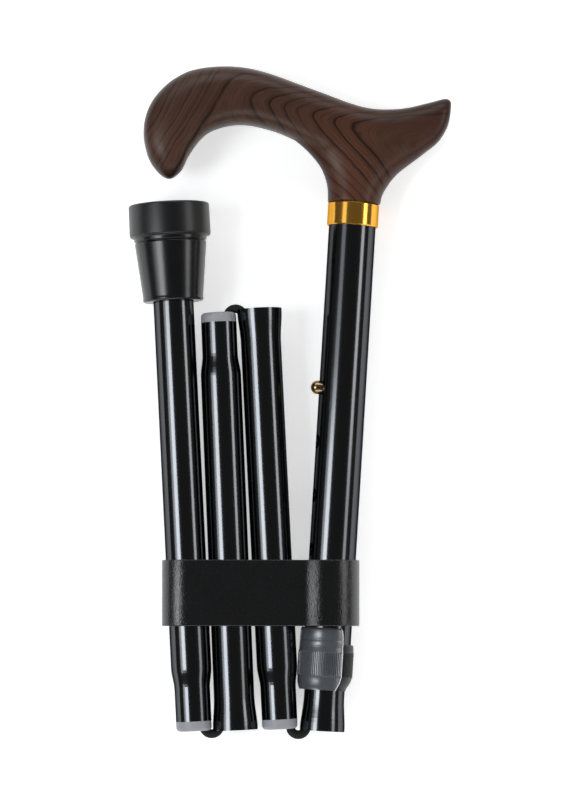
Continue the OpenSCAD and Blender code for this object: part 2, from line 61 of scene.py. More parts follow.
# Sizes that the solids also have, in millimetres, and the shell's turn in degrees
TUBE_R = 9.5
UPPER_R = 11.1
CORD_R = 1.6
BEND_R = 3.8
BEND_LEG = 2.0
SETTLE_LEN = 30.0
NUT_R = 13.1
NUT_H = 21.7
SHELL_H = 28.7
SHELL_T = 0.7
SHELL_TURN = 58
BAND_T = 1.4
POCKET_GAP = 1.1
POCKET_FRONT = 1.0
FERRULE_R = 19.0
FERRULE_H = 47.3
FLANGE_H = 16.1
SLEEVE_R = 16.9
SLEEVE_END_R = 13.8
SOLE_T = 9.0

# The photograph's frame: its height in pixels, its scale at the fold plane and its middle on the floor plan
PHOTO_H = 800
PX_PER_MM = 2.122
PHOTO_MIDDLE = (-3.26, 0.95)

# The camera: millimetres to the fold plane, degrees that it leans to the lower end, millimetres of sensor
CAMERA_DISTANCE = 1800.0
CAMERA_TILT = 3.5
SENSOR_H = 36.0


# Directions and places read from the frame
def unit(v):
    return Vector(v).normalized()


FRONT = unit(joints["fold_1"]["axis"])
UP = -unit(joints["height_slide"]["axis"])
NORTH = Vector((0.0, 1.0, 0.0))
ACROSS = NORTH.cross(FRONT)


def basis(x, y, z, origin):
    m = Matrix((x, y, z)).transposed().to_4x4()
    m.translation = origin
    return m


def node_points(name):
    return [v.co.copy() for v in nodes[name].data.vertices]


def extent(name, origin, axis):
    along = [(p - origin).dot(axis) for p in node_points(name)]
    return min(along), max(along)


def ring_centre(points, axis, depth):
    reach = max(p.dot(axis) for p in points)
    rim = [p for p in points if p.dot(axis) > reach - depth]
    low = Vector([min(p[i] for p in rim) for i in range(3)])
    high = Vector([max(p[i] for p in rim) for i in range(3)])
    return (low + high) / 2


def tube_ends(name):
    """Centres of a tube's lower and upper end."""
    points = node_points(name)
    low = ring_centre(points, -NORTH, 2 * MM)
    high = ring_centre(points, NORTH, 2 * MM)
    axis = unit(high - low)
    return ring_centre(points, -axis, 0.05 * MM), ring_centre(points, axis, 0.05 * MM)


def tube_frame(origin, axis):
    """Frame with +Z along a tube, +X to the right of it and -Y to the front."""
    right = unit(axis.cross(FRONT))
    return basis(right, axis.cross(right), axis, origin)


AXIS_POINT = Vector(joints["nut_turn"]["pos_m"])
STEM_FOOT = AXIS_POINT + UP * extent("collar", AXIS_POINT, UP)[1]
HANDLE_FRAME = basis(ACROSS, NORTH, FRONT, STEM_FOOT)
NUT_FRAME = tube_frame(AXIS_POINT + UP * extent("lock_nut", AXIS_POINT, UP)[0], UP)
FOOT_FACE = Vector(mounts["ferrule_face"]["pos_m"])
FERRULE_FRAME = tube_frame(FOOT_FACE, -unit(mounts["ferrule_face"]["axis"]))


# Node trees
class Tree:
    """Short way to write a material's nodes."""

    def __init__(self, name):
        self.material = bpy.data.materials.new(name)
        self.material.use_nodes = True
        self.nodes = self.material.node_tree.nodes
        self.links = self.material.node_tree.links
        self.nodes.clear()
        self.out = self.add("ShaderNodeOutputMaterial")
        self.shader = self.add("ShaderNodeBsdfPrincipled")
        self.links.new(self.shader.outputs[0], self.out.inputs[0])

    def add(self, kind, **settings):
        node = self.nodes.new(kind)
        for key, value in settings.items():
            setattr(node, key, value)
        return node

    def feed(self, socket, value):
        if isinstance(value, bpy.types.NodeSocket):
            self.links.new(value, socket)
        else:
            socket.default_value = value

    def math(self, operation, a, b=None, c=None):
        node = self.add("ShaderNodeMath", operation=operation)
        for socket, value in zip(node.inputs, (a, b, c)):
            if value is not None:
                self.feed(socket, value)
        return node.outputs[0]

    def coords(self):
        """Object coordinates in millimetres."""
        place = self.add("ShaderNodeTexCoord").outputs["Object"]
        node = self.add("ShaderNodeVectorMath", operation="SCALE")
        self.feed(node.inputs[0], place)
        node.inputs["Scale"].default_value = 1 / MM
        return node.outputs[0]

    def split(self, vector):
        node = self.add("ShaderNodeSeparateXYZ")
        self.feed(node.inputs[0], vector)
        return node.outputs

    def join(self, x, y, z):
        node = self.add("ShaderNodeCombineXYZ")
        for socket, value in zip(node.inputs, (x, y, z)):
            self.feed(socket, value)
        return node.outputs[0]

    def noise(self, vector, scale, detail=2.0, roughness=0.5):
        node = self.add("ShaderNodeTexNoise")
        self.feed(node.inputs["Vector"], vector)
        node.inputs["Scale"].default_value = scale
        node.inputs["Detail"].default_value = detail
        node.inputs["Roughness"].default_value = roughness
        return node.outputs["Fac"]

    def ramp(self, value, *stops):
        node = self.add("ShaderNodeValToRGB")
        elements = node.color_ramp.elements
        while len(elements) < len(stops):
            elements.new(0.5)
        for element, (place, colour) in zip(elements, stops):
            element.position = place
            element.color = (*colour, 1.0)
        self.feed(node.inputs[0], value)
        return node.outputs[0]

    def mix(self, share, a, b, blend="MIX"):
        node = self.add("ShaderNodeMix", data_type="RGBA", blend_type=blend)
        self.feed(node.inputs[0], share)
        for socket, value in ((node.inputs[6], a), (node.inputs[7], b)):
            self.feed(socket, value if isinstance(value, bpy.types.NodeSocket) else (*value, 1.0))
        return node.outputs[2]

    def smooth_step(self, value, start, end, low, high):
        node = self.add("ShaderNodeMapRange", interpolation_type="SMOOTHSTEP")
        self.feed(node.inputs["Value"], value)
        for name, limit in (("From Min", start), ("From Max", end), ("To Min", low), ("To Max", high)):
            node.inputs[name].default_value = limit
        return node.outputs[0]

    def span(self, value, low, high):
        """Takes 0..1 to low..high."""
        return self.math("MULTIPLY_ADD", value, high - low, low)

    def bump(self, height, distance, strength=1.0):
        node = self.add("ShaderNodeBump")
        node.inputs["Strength"].default_value = strength
        node.inputs["Distance"].default_value = distance
        self.feed(node.inputs["Height"], height)
        self.links.new(node.outputs[0], self.shader.inputs["Normal"])

    def finish(self, **sockets):
        for name, value in sockets.items():
            socket = self.shader.inputs[name.replace("_", " ")]
            if isinstance(value, tuple) and len(value) == 3:
                value = (*value, 1.0)
            self.feed(socket, value)
        return self.material


# Materials
# The handle's grain, in millimetres: the knot by the stem that the lines nest behind, the lean of the grain's
# axis, and the places of the lines along that axis, counted from the knot
KNOT_X = 0.5
KNOT_Y = 36.5
GRAIN_LEAN = math.radians(-15)
GRAIN_START = -60.0
GRAIN_END = 112.0
GRAIN_LINES = (
    6.8, 15.5, 25, 32.5, 38.5, 45, 52.5, 65, 72, 74, 78.5, 84, 86.5, 89, 91, 93, 95, 97.5, 100, 103,
    106, 109, 112)
LINE_COLOUR = (0.012, 0.0065, 0.0055)
BODY_DARK = (0.046, 0.0228, 0.015)
BODY_LIGHT = (0.078, 0.0392, 0.0262)


def grey(level):
    return (level, level, level)


def faded(tree, tone, share):
    """A tone that keeps only a share of what it lacks of 1."""
    lack = tree.math("MULTIPLY", tree.math("SUBTRACT", 1.0, tone), share)
    return tree.math("SUBTRACT", 1.0, lack)


def grain_field(tree, place, x, y, z):
    """Place along the grain, bowed round the knot, and the plain distance along the grain's axis."""
    sway = tree.span(tree.noise(place, 0.035), -2.5, 2.5)
    ripple = tree.span(tree.noise(place, 0.13), -0.9, 0.9)
    lean_x, lean_y = math.cos(GRAIN_LEAN), math.sin(GRAIN_LEAN)
    dx = tree.math("SUBTRACT", x, KNOT_X)
    dy = tree.math("ADD", tree.math("SUBTRACT", y, KNOT_Y), ripple)
    along = tree.math("MULTIPLY_ADD", dx, lean_x, tree.math("MULTIPLY", dy, lean_y))
    behind = tree.math("MULTIPLY_ADD", along, -1.0, sway)
    aside = tree.math("MULTIPLY_ADD", dy, lean_x, tree.math("MULTIPLY", dx, -lean_y))
    depth = tree.math("MULTIPLY", z, tree.math("MULTIPLY", z, 0.1))
    away = tree.math("SQRT", tree.math("MULTIPLY_ADD", aside, aside, depth))
    near = tree.smooth_step(aside, -3.0, 3.0, 1.6, 3.0)
    far = tree.smooth_step(behind, 36.0, 72.0, 0.0, 1.0)
    slope = tree.math("MULTIPLY_ADD", tree.math("SUBTRACT", 0.05, near), far, near)
    blunt = tree.math("MULTIPLY_ADD", tree.math("MAXIMUM", behind, 0.0), 0.07, 1.5)
    bow = tree.math("SQRT", tree.math("MULTIPLY_ADD", away, away, tree.math("MULTIPLY", blunt, blunt)))
    bow = tree.math("SUBTRACT", bow, blunt)
    field = tree.math("MULTIPLY_ADD", bow, slope, behind)
    field = tree.math("MULTIPLY_ADD", tree.math("MULTIPLY", far, 0.3), aside, field)
    return field, along


def grain_count(tree, field):
    """Number of grain lines passed, with the share of the way to the next one."""
    reach = GRAIN_END - GRAIN_START
    last = len(GRAIN_LINES)
    before_first = GRAIN_LINES[0] - 2
    stops = [(0.0, grey(0.3 / last)), ((before_first - GRAIN_START) / reach, grey(0.93 / last))]
    stops += [((p - GRAIN_START) / reach, grey(i / last)) for i, p in enumerate(GRAIN_LINES, 1)]
    share = tree.math("DIVIDE", tree.math("SUBTRACT", field, GRAIN_START), reach)
    return tree.math("MULTIPLY", tree.ramp(share, *stops), last)


def grain_lines(tree, place, count, top):
    """Dark lines of uneven weight, with patches of finer ones between them; 0 is on a line and 1 is clear."""
    line = tree.ramp(
        tree.math("FRACT", count), (0.0, grey(0)), (0.04, grey(0.1)), (0.12, grey(0.65)), (0.4, grey(1)),
        (0.93, grey(0.92)), (1.0, grey(0)))
    which = tree.add("ShaderNodeTexWhiteNoise", noise_dimensions="1D")
    tree.feed(which.inputs["W"], tree.math("ROUND", count))
    weight = tree.math("MULTIPLY_ADD", which.outputs["Value"], 0.6, tree.noise(place, 0.06))
    is_first = tree.math("LESS_THAN", count, 1.5)
    weight = tree.math("MINIMUM", tree.math("MAXIMUM", weight, is_first), 1.0)
    # Lines fade on the sides of the grip, where shade is painted
    weight = tree.math("MULTIPLY", weight, tree.span(top, 0.4, 1.0))
    fine = tree.math("MULTIPLY_ADD", tree.noise(place, 0.09), 2.0, tree.math("MULTIPLY", count, 3.0))
    fine = tree.ramp(
        tree.math("FRACT", fine), (0.0, grey(0.45)), (0.1, grey(0.8)), (0.3, grey(1)), (0.88, grey(1)),
        (1.0, grey(0.45)))
    patchy = tree.smooth_step(tree.noise(place, 0.045), 0.42, 0.62, 0.0, 0.8)
    return tree.math("MULTIPLY", faded(tree, line, weight), faded(tree, fine, patchy))


def wood():
    """Dark stained wood: grain lines that nest behind a knot by the stem and run straight at the nose, with
    painted shade on its sides.
    """
    tree = Tree("wood")
    place = tree.coords()
    x, y, z = tree.split(place)
    top = tree.smooth_step(z, 1.5, 8.5, 0.0, 1.0)
    field, along = grain_field(tree, place, x, y, z)
    line = grain_lines(tree, place, grain_count(tree, field), top)
    fibre_place = tree.join(tree.math("MULTIPLY", field, 1.6), tree.math("MULTIPLY", along, 0.1), z)
    fibres = tree.noise(fibre_place, 0.8, 4.0, 0.6)
    body = tree.ramp(fibres, (0.25, BODY_DARK), (0.75, BODY_LIGHT))
    warmth = tree.ramp(
        tree.math("MULTIPLY_ADD", x, 0.02, 0.7), (0.0, grey(1)), (0.65, (1.15, 0.95, 0.87)),
        (1.0, (0.85, 0.78, 0.74)))
    stem = tree.ramp(tree.math("DIVIDE", y, 60.0), (0.25, grey(1.38)), (0.75, grey(1)))
    # Painted shade: the sides, low on the grip, are darkened and tinted purple as if they lay in shade
    side = tree.ramp(top, (0.0, (0.5, 0.46, 0.5)), (1.0, grey(1)))
    for shade in (warmth, stem, side):
        body = tree.mix(1.0, body, shade, "MULTIPLY")
    tree.bump(line, 0.03 * MM, 0.4)
    return tree.finish(
        Base_Color=tree.mix(line, LINE_COLOUR, body), Roughness=tree.span(fibres, 0.29, 0.38),
        Specular_IOR_Level=0.17)


def mottled(tree, place, dark, light):
    """Slow change between two tones."""
    return tree.ramp(tree.noise(place, 0.08, 3.0), (0.3, dark), (0.7, light))


def speckled(name, colour, spread, roughness, grain, depth=0.0, **sockets):
    """Even finish with a faint change of tone, and a fine grain, depth millimetres deep, on its surface."""
    tree = Tree(name)
    place = tree.coords()
    tint = mottled(
        tree, place, tuple(c * (1 - spread) for c in colour), tuple(c * (1 + spread) for c in colour))
    fine = tree.noise(place, grain, 3.0, 0.6)
    if depth:
        tree.bump(fine, depth * MM, 0.6)
    return tree.finish(Base_Color=tint, Roughness=tree.span(fine, *roughness), **sockets)


def rubber():
    """Black rubber that is duller on the scuffed flange than on the sleeve."""
    tree = Tree("rubber")
    place = tree.coords()
    tint = mottled(tree, place, (0.003, 0.0032, 0.0037), (0.005, 0.0053, 0.006))
    fine = tree.noise(place, 2.0, 3.0, 0.6)
    height = tree.split(place)[2]
    dull = tree.smooth_step(height, FLANGE_H - 0.5, FLANGE_H + 0.5, 0.13, 0.0)
    tree.bump(fine, 0.02 * MM, 0.6)
    return tree.finish(
        Base_Color=tint, Roughness=tree.math("ADD", tree.span(fine, 0.21, 0.27), dull),
        Specular_IOR_Level=0.5)


def band_rubber():
    """Black band with a pebbled grain that sparkles where it catches the light."""
    tree = Tree("band_rubber")
    place = tree.coords()
    tint = mottled(tree, place, (0.0032, 0.0034, 0.0038), (0.0048, 0.005, 0.0055))
    pebbles = tree.noise(place, 1.5, 1.0)
    tree.bump(pebbles, 0.17 * MM, 0.8)
    return tree.finish(Base_Color=tint, Roughness=tree.span(pebbles, 0.22, 0.3), Specular_IOR_Level=0.65)


def braid():
    """Black braided sleeve: two sets of strands that cross, drawn on the tube's own map, with painted shade in the
    hollows between them.
    """
    tree = Tree("braid")
    u, v, _ = tree.split(tree.add("ShaderNodeTexCoord").outputs["UV"])
    strands = 8.0
    turn = tree.math("MULTIPLY", v, strands * math.tau)
    run = tree.math("MULTIPLY", u, math.tau)
    left = tree.math("SINE", tree.math("ADD", turn, run))
    right = tree.math("SINE", tree.math("SUBTRACT", turn, run))
    height = tree.math("MULTIPLY", left, right)
    # Painted shade: the hollows between strands are darker than their crests
    tint = tree.ramp(tree.span(height, 0.5, 1.0), (0.0, grey(0.003)), (1.0, (0.016, 0.016, 0.017)))
    tree.bump(height, 0.15 * MM, 0.8)
    return tree.finish(Base_Color=tint, Roughness=0.75, Specular_IOR_Level=0.3)


WOOD = wood()
GLOSS_BLACK = speckled(
    "gloss_black", (0.088, 0.09, 0.095), spread=0.03, roughness=(0.13, 0.165), grain=0.6,
    Metallic=1.0, Specular_Tint=grey(0.25))
GOLD = speckled(
    "gold", (0.82, 0.42, 0.065), spread=0.05, roughness=(0.13, 0.19), grain=1.5,
    Metallic=0.94, Specular_Tint=(0.6, 0.45, 0.3))
BUTTON_BRASS = speckled(
    "button_brass", (0.27, 0.19, 0.1), spread=0.1, roughness=(0.2, 0.26), grain=1.2, Metallic=1.0)
RUBBER = rubber()
BAND_RUBBER = band_rubber()
BLACK_PLASTIC = speckled(
    "black_plastic", (0.006, 0.006, 0.0065), spread=0.15, roughness=(0.34, 0.44), grain=2.5, depth=0.01,
    Specular_IOR_Level=0.35)
# Painted light: a lighter grey copy of the black nut's plastic, for the lit left side of the nut
PAINTED_LIT_GREY = speckled(
    "grey_plastic", (0.064, 0.0705, 0.08), spread=0.08, roughness=(0.25, 0.31), grain=2.5, depth=0.012,
    Specular_IOR_Level=1.0)
# Painted highlight: near white, for the bright line of light along the grey shell's front edge
PAINTED_RIM_HIGHLIGHT = speckled(
    "painted_rim_highlight", (0.93, 0.94, 0.95), spread=0.06, roughness=(0.4, 0.5), grain=2.5, depth=0.012,
    Specular_IOR_Level=0.5)
CAP_PLASTIC = speckled(
    "cap_plastic", (0.3, 0.305, 0.33), spread=0.06, roughness=(0.42, 0.52), grain=2.5, depth=0.012,
    Specular_IOR_Level=0.4)
STEEL = speckled(
    "steel", (0.55, 0.56, 0.57), spread=0.08, roughness=(0.25, 0.38), grain=1.2, depth=0.005, Metallic=1.0)
PLAIN_WOOD = speckled(
    "plain_wood", (0.5, 0.33, 0.18), spread=0.15, roughness=(0.5, 0.65), grain=0.8, depth=0.03)
BRAID = braid()

NODE_MATERIALS = {
    "handle_dowel": PLAIN_WOOD,
    "collar": GOLD,
    "upper_tube": GLOSS_BLACK,
    "lock_collet": BLACK_PLASTIC,
    "inner_tube": GLOSS_BLACK,
    "inner_end_plug": BLACK_PLASTIC,
    "button_spring": STEEL,
    "snap_button": BUTTON_BRASS,
    "upper_cord_plug": CAP_PLASTIC,
    "second_tube": GLOSS_BLACK,
    "second_cap": CAP_PLASTIC,
    "third_tube": GLOSS_BLACK,
    "third_cap": CAP_PLASTIC,
    "foot_tube": GLOSS_BLACK,
    "foot_cap": CAP_PLASTIC,
    "foot_cord_plug": CAP_PLASTIC,
    "ferrule_washer": STEEL,
}
SMOOTH_ANGLE = math.radians(35)


def smooth(mesh):
    for polygon in mesh.polygons:
        polygon.use_smooth = True
    mesh.set_sharp_from_angle(angle=SMOOTH_ANGLE)


def dress_nodes():
    for name, material in NODE_MATERIALS.items():
        mesh = nodes[name].data
        mesh.materials.clear()
        mesh.materials.append(material)
        smooth(mesh)


# Pieces
def new_piece(name, bm, material, place=None):
    mesh = bpy.data.meshes.new(name)
    bmesh.ops.recalc_face_normals(bm, faces=bm.faces)
    bm.to_mesh(mesh)
    bm.free()
    mesh.materials.append(material)
    piece = bpy.data.objects.new(name, mesh)
    bpy.context.scene.collection.objects.link(piece)
    if place is not None:
        piece.matrix_world = place
    return piece


def apply_modifiers(piece):
    graph = bpy.context.evaluated_depsgraph_get()
    done = bpy.data.meshes.new_from_object(piece.evaluated_get(graph))
    old = piece.data
    piece.modifiers.clear()
    piece.data = done
    bpy.data.meshes.remove(old)


def loft(bm, rings, closed_ends=True):
    """Skins a list of rings of points."""
    made = [[bm.verts.new(p) for p in ring] for ring in rings]
    count = len(rings[0])
    for a, b in zip(made, made[1:]):
        for j in range(count):
            k = (j + 1) % count
            bm.faces.new((a[j], a[k], b[k], b[j]))
    if closed_ends:
        bm.faces.new(made[0][::-1])
        bm.faces.new(made[-1])


def weld(bm):
    bmesh.ops.remove_doubles(bm, verts=bm.verts, dist=0.001 * MM)


def curve(points, x):
    """Smooth curve through points, as a function of their first value."""
    last = len(points) - 2
    i = next((k for k in range(last) if x <= points[k + 1][0]), last)

    def slope(k):
        a = max(k - 1, 0)
        b = min(k + 1, len(points) - 1)
        return (points[b][1] - points[a][1]) / (points[b][0] - points[a][0])

    width = points[i + 1][0] - points[i][0]
    t = (x - points[i][0]) / width
    h01 = t * t * (3 - 2 * t)
    h10 = t * (1 - t) ** 2
    h11 = t * t * (t - 1)
    ends = points[i][1] * (1 - h01) + points[i + 1][1] * h01
    return ends + width * (slope(i) * h10 + slope(i + 1) * h11)


def s_step(t):
    return (1 - math.cos(math.pi * t)) / 2


# Outline of the grip from the front, in millimetres from the foot of the stem
GRIP_TOP = (
    (-99.6, 34.2), (-99.1, 38.8), (-97.5, 44.2), (-95, 48.9), (-91.1, 53.7), (-85.7, 58.4),
    (-76.7, 62.9), (-60.2, 64.8), (-44.3, 62.7), (-17.5, 53.6), (5.5, 46), (21.9, 45.6),
    (36, 48.7), (42.5, 50.6), (45, 51.0), (46.4, 49.8))
GRIP_BOTTOM = (
    (-99.6, 33.4), (-99.2, 28.4), (-96.9, 20.3), (-93.4, 15), (-90.2, 12), (-87, 10.8),
    (-83.6, 12.8), (-80.9, 15.7), (-79, 20.4), (-72.5, 29.9), (-65.9, 34.6), (-53.2, 37.2),
    (-39.1, 34.7), (-28.3, 30.5), (-15, 24), (0, 19.5), (15, 18.5), (28, 20.4),
    (34.7, 25.1), (40.2, 29.6), (44, 35.3), (45.7, 40.2), (46.4, 46.6))
GRIP_HALF = (
    (-99.6, 1.9), (-99.1, 5.2), (-97.4, 7.7), (-94.3, 9.7), (-88, 11.6), (-70, 13.2), (-45, 13.8),
    (-20, 12.6), (0, 11.5), (20, 9.8), (36, 8.2), (42, 7.4), (46.4, 4.6))
STEM_LEFT = (
    (-3, -12.5), (4, -12.3), (8.6, -12.7), (12, -13.7), (15.7, -15.1), (20.4, -18.3), (25, -22.4), (30, -28))
STEM_RIGHT = (
    (-3, 12.5), (4, 13.3), (8.6, 15.8), (12, 18.2), (15.7, 21.7), (20.4, 28), (25, 34), (30, 38))
STEM_HALF = 11.7
# Power of the grip's oval: an ellipse has 2
FULLNESS = 2.5
# Size of the voxels that join stem and grip, the height where the last smoothing starts, and the height
# over which it grows to its full strength
VOXEL = 0.8
SMOOTH_FROM = 3
SMOOTH_OVER = 5


def squared(angle):
    """Point on a rounded oval that is a little fuller than an ellipse."""
    power = 2 / FULLNESS
    c, s = math.cos(angle), math.sin(angle)
    return math.copysign(abs(c) ** power, c), math.copysign(abs(s) ** power, s)


def handle():
    bm = bmesh.new()
    sides = 48
    turns = [math.tau * j / sides for j in range(sides)]
    first, last = GRIP_TOP[0][0], GRIP_TOP[-1][0]
    stations = 110
    grip = []
    for i in range(stations + 1):
        x = first + (last - first) * s_step(i / stations)
        top, bottom = curve(GRIP_TOP, x), curve(GRIP_BOTTOM, x)
        half = curve(GRIP_HALF, x)
        ring = []
        for turn in turns:
            c, s = squared(turn)
            ring.append(Vector((x, (top + bottom) / 2 + (top - bottom) / 2 * c, half * s)) * MM)
        grip.append(ring)
    loft(bm, grip)
    levels = 34
    high = STEM_LEFT[-1][0]
    tilt = UP.dot(ACROSS) / UP.dot(NORTH)
    stem = []
    for i in range(levels + 1):
        y = high * i / levels
        left, right = curve(STEM_LEFT, y), curve(STEM_RIGHT, y)
        level = 1 - i / levels
        ring = []
        for turn in turns:
            c, s = math.cos(turn), math.sin(turn)
            x = (left + right) / 2 + (right - left) / 2 * c
            ring.append(Vector((x, y - tilt * x * level, STEM_HALF * s)) * MM)
        stem.append(ring)
    loft(bm, stem)
    piece = new_piece("wood_handle", bm, WOOD, HANDLE_FRAME)
    remesh = piece.modifiers.new("join", "REMESH")
    remesh.mode = "VOXEL"
    remesh.voxel_size = VOXEL * MM
    soften = piece.modifiers.new("soften", "SMOOTH")
    soften.factor = 0.5
    soften.iterations = 6
    apply_modifiers(piece)
    free = piece.vertex_groups.new(name="free")
    for v in piece.data.vertices:
        share = (v.co.y / MM - SMOOTH_FROM) / SMOOTH_OVER
        free.add([v.index], min(max(share, 0), 1), "REPLACE")
    even = piece.modifiers.new("even", "SMOOTH")
    even.factor = 0.5
    even.iterations = 30
    even.vertex_group = free.name
    apply_modifiers(piece)
    piece.vertex_groups.clear()
    for polygon in piece.data.polygons:
        polygon.use_smooth = True
    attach(piece, "handle_section")
    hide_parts("handle")


def lathe(bm, outline, sides=128):
    """Turns an outline of (radius, height) about +Z; it closes where it starts and ends on the axis."""
    turns = [math.tau * j / sides for j in range(sides)]
    rings = [[Vector((r * math.cos(t), r * math.sin(t), z)) * MM for t in turns] for r, z in outline]
    loft(bm, rings, closed_ends=False)
    weld(bm)


def rounded(outline, radius, steps=5):
    """Rounds the corners of an open outline of (radius, height)."""
    points = [Vector(p) for p in outline]
    done = [points[0]]
    for before, corner, after in zip(points, points[1:], points[2:]):
        reach = min(radius, (before - corner).length / 2, (after - corner).length / 2)
        a = corner + (before - corner).normalized() * reach
        b = corner + (after - corner).normalized() * reach
        for i in range(steps + 1):
            t = i / steps
            done.append(a * (1 - t) ** 2 + corner * 2 * t * (1 - t) + b * t ** 2)
    return done + [points[-1]]


# Ferrule
def ferrule():
    lip, groove, tread_w, tread_depth = 2.0, 0.5, 2.0, 1.5
    bore = TUBE_R + 0.05
    under, end = FLANGE_H - 0.8, FERRULE_H - 1.2
    sole = [(0, 0)]
    for r in (0.6 * bore, bore):
        sole += [(r, 0), (r, tread_depth), (r + tread_w, tread_depth), (r + tread_w, 0)]
    side = [
        (FERRULE_R - 0.5, 0), (FERRULE_R, 0.6), (FERRULE_R + 0.1, under - 1.0), (FERRULE_R - 0.3, under),
        (SLEEVE_R + 0.2, under + 0.15), (SLEEVE_R + 0.2, under + lip), (SLEEVE_R - groove, under + lip + 0.1),
        (SLEEVE_R - groove, under + lip + groove), (SLEEVE_R, under + lip + 2 * groove),
        (SLEEVE_END_R + 0.35, end - 2.2), (SLEEVE_END_R + 0.55, end - 1.0), (SLEEVE_END_R + 0.2, end - 0.3),
        (SLEEVE_END_R - 0.6, end)]
    inside = [(bore, end), (bore, SOLE_T), (0, SOLE_T)]
    bm = bmesh.new()
    lathe(bm, rounded(sole + side + inside, 0.45))
    piece = new_piece("rubber_foot", bm, RUBBER, FERRULE_FRAME)
    smooth(piece.data)
    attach(piece, "foot_section")
    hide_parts("ferrule")


# Cord
# How far the lower loops are lifted and the upper loop is lowered from the ends of their solids, and how
# much thicker than the cord they are halfway
LOOP_LIFT = 0.6
LOOP_DROP = 2.3
LOOP_SWELL = 0.5
# How far the first and last runs stop short of the ends of their solids, and the spacing of a run's points
RUN_SHORT = 4
RUN_STEP = 4


def tube_along(bm, points, radius, swell, sides=16):
    """Round tube through points in the fold plane, thicker by swell halfway, with a map along it."""
    layer = bm.loops.layers.uv.new("map")
    rings = []
    travelled = [0.0]
    for a, b in zip(points, points[1:]):
        travelled.append(travelled[-1] + (b - a).length)
    for i, p in enumerate(points):
        ahead = points[min(i + 1, len(points) - 1)] - points[max(i - 1, 0)]
        side = unit(ahead.cross(FRONT))
        turns = [math.tau * j / sides for j in range(sides)]
        r = radius + swell * min(1.0, i / 4, (len(points) - 1 - i) / 4)
        rings.append([p + r * (side * math.cos(t) + FRONT * math.sin(t)) for t in turns])
    made = [[bm.verts.new(p) for p in ring] for ring in rings]
    for i in range(len(rings) - 1):
        for j in range(sides):
            k = (j + 1) % sides
            face = bm.faces.new((made[i][j], made[i][k], made[i + 1][k], made[i + 1][j]))
            spots = ((i, j), (i, j + 1), (i + 1, j + 1), (i + 1, j))
            for loop, (row, column) in zip(face.loops, spots):
                loop[layer].uv = (travelled[row] / radius, column / sides)
    bm.faces.new(made[0][::-1])
    bm.faces.new(made[-1])


def loop_points(name, side, steps=24):
    """Half circle of a cord loop with its two legs; side is 1 where it lies below the tubes."""
    low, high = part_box(name)
    reach = (BEND_R + CORD_R) * MM
    middle = (Vector(low) + Vector(high)) / 2
    middle.y = low[1] + reach + LOOP_LIFT * MM if side > 0 else high[1] - reach - LOOP_DROP * MM
    leg = NORTH * side * BEND_LEG * MM
    points = [middle + BEND_R * MM * ACROSS + leg]
    for i in range(steps + 1):
        a = math.pi * i / steps
        points.append(middle + BEND_R * MM * (ACROSS * math.cos(a) - NORTH * side * math.sin(a)))
    return points + [middle - BEND_R * MM * ACROSS + leg]


def straight(a, b, steps):
    return [a.lerp(b, i / steps) for i in range(steps + 1)]


def cord_piece(name, points, node, swell=0.0):
    bm = bmesh.new()
    tube_along(bm, points, CORD_R * MM, swell * MM)
    piece = new_piece(name, bm, BRAID)
    smooth(piece.data)
    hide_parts(node)
    return piece


def cord():
    loops = [loop_points("cord_loop_1", 1), loop_points("cord_loop_2", -1), loop_points("cord_loop_3", 1)]
    inner_low, inner_high = tube_ends("inner_tube")
    second_low, second_high = tube_ends("second_tube")
    third_low, third_high = tube_ends("third_tube")
    foot_low, foot_high = tube_ends("foot_tube")
    settle = SETTLE_LEN * MM

    def inside(end, other):
        return end + unit(other - end) * settle

    short = RUN_SHORT * MM
    top_1 = inner_low + UP * ((Vector(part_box("cord_run_1")[1]) - inner_low).dot(UP) - short)
    top_4 = foot_low + unit(foot_high - foot_low) * (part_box("cord_run_4")[1][1] - foot_low.y - short)
    runs = (
        (top_1, inside(inner_low, inner_high), loops[0][0]),
        (loops[0][-1], inside(second_low, second_high), inside(second_high, second_low), loops[1][0]),
        (loops[1][-1], inside(third_high, third_low), inside(third_low, third_high), loops[2][0]),
        (loops[2][-1], inside(foot_low, foot_high), top_4),
    )
    bodies = ("inner_section", "second_section", "third_section", "foot_section")
    for number, (route, body) in enumerate(zip(runs, bodies), 1):
        points = [route[0]]
        for a, b in zip(route, route[1:]):
            points += straight(a, b, max(2, round((b - a).length / (RUN_STEP * MM))))[1:]
        piece = cord_piece(f"elastic_run_{number}", points, f"cord_run_{number}")
        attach(piece, body)
    for number, points in enumerate(loops, 1):
        piece = cord_piece(f"elastic_loop_{number}", points, f"cord_loop_{number}", LOOP_SWELL)
        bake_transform(piece)


# Lock nut
SHELL_SWELL = 0.25
CORE_R = 12.7
RIBS = 88
RIB_LOW = 6.6
RIB_HIGH = 17.9
RIB_DEPTH = 0.4
# The shell's middle direction, its height, the two lines round it and the columns of the painted highlight along
# its rim
SHELL_MIDDLE = math.radians(-90 - SHELL_TURN)
SHELL_TOP = SHELL_H + 0.4
SHELL_LINES = (NUT_H - 1.7, NUT_H + 1.7)
RIM_COLUMNS = 7
# The nut's bore, and the bore, height and slant of the lip under it
NUT_BORE = UPPER_R + 0.75
LIP_BORE = TUBE_R + 0.3
LIP_H = 5.4
LIP_SLANT = 2.4


def nut_levels(top):
    """Heights up the nut with the inset of its side at each."""
    return (
        (0, 1.5), (0.5, 1.0), (1.4, 0.65), (2.6, 0.42), (4.2, 0.24), (RIB_LOW - 0.5, 0.18),
        (RIB_LOW - 0.2, 0.06), (RIB_LOW, 0), (RIB_LOW + 0.4, 0), (RIB_LOW + 0.8, 0),
        (RIB_HIGH - 0.8, 0), (RIB_HIGH - 0.4, 0), (RIB_HIGH, 0),
        (RIB_HIGH + 0.2, 0.06), (RIB_HIGH + 0.5, 0.18), (top - 1.2, 0.25), (top - 0.5, 0.45), (top, 1.0))


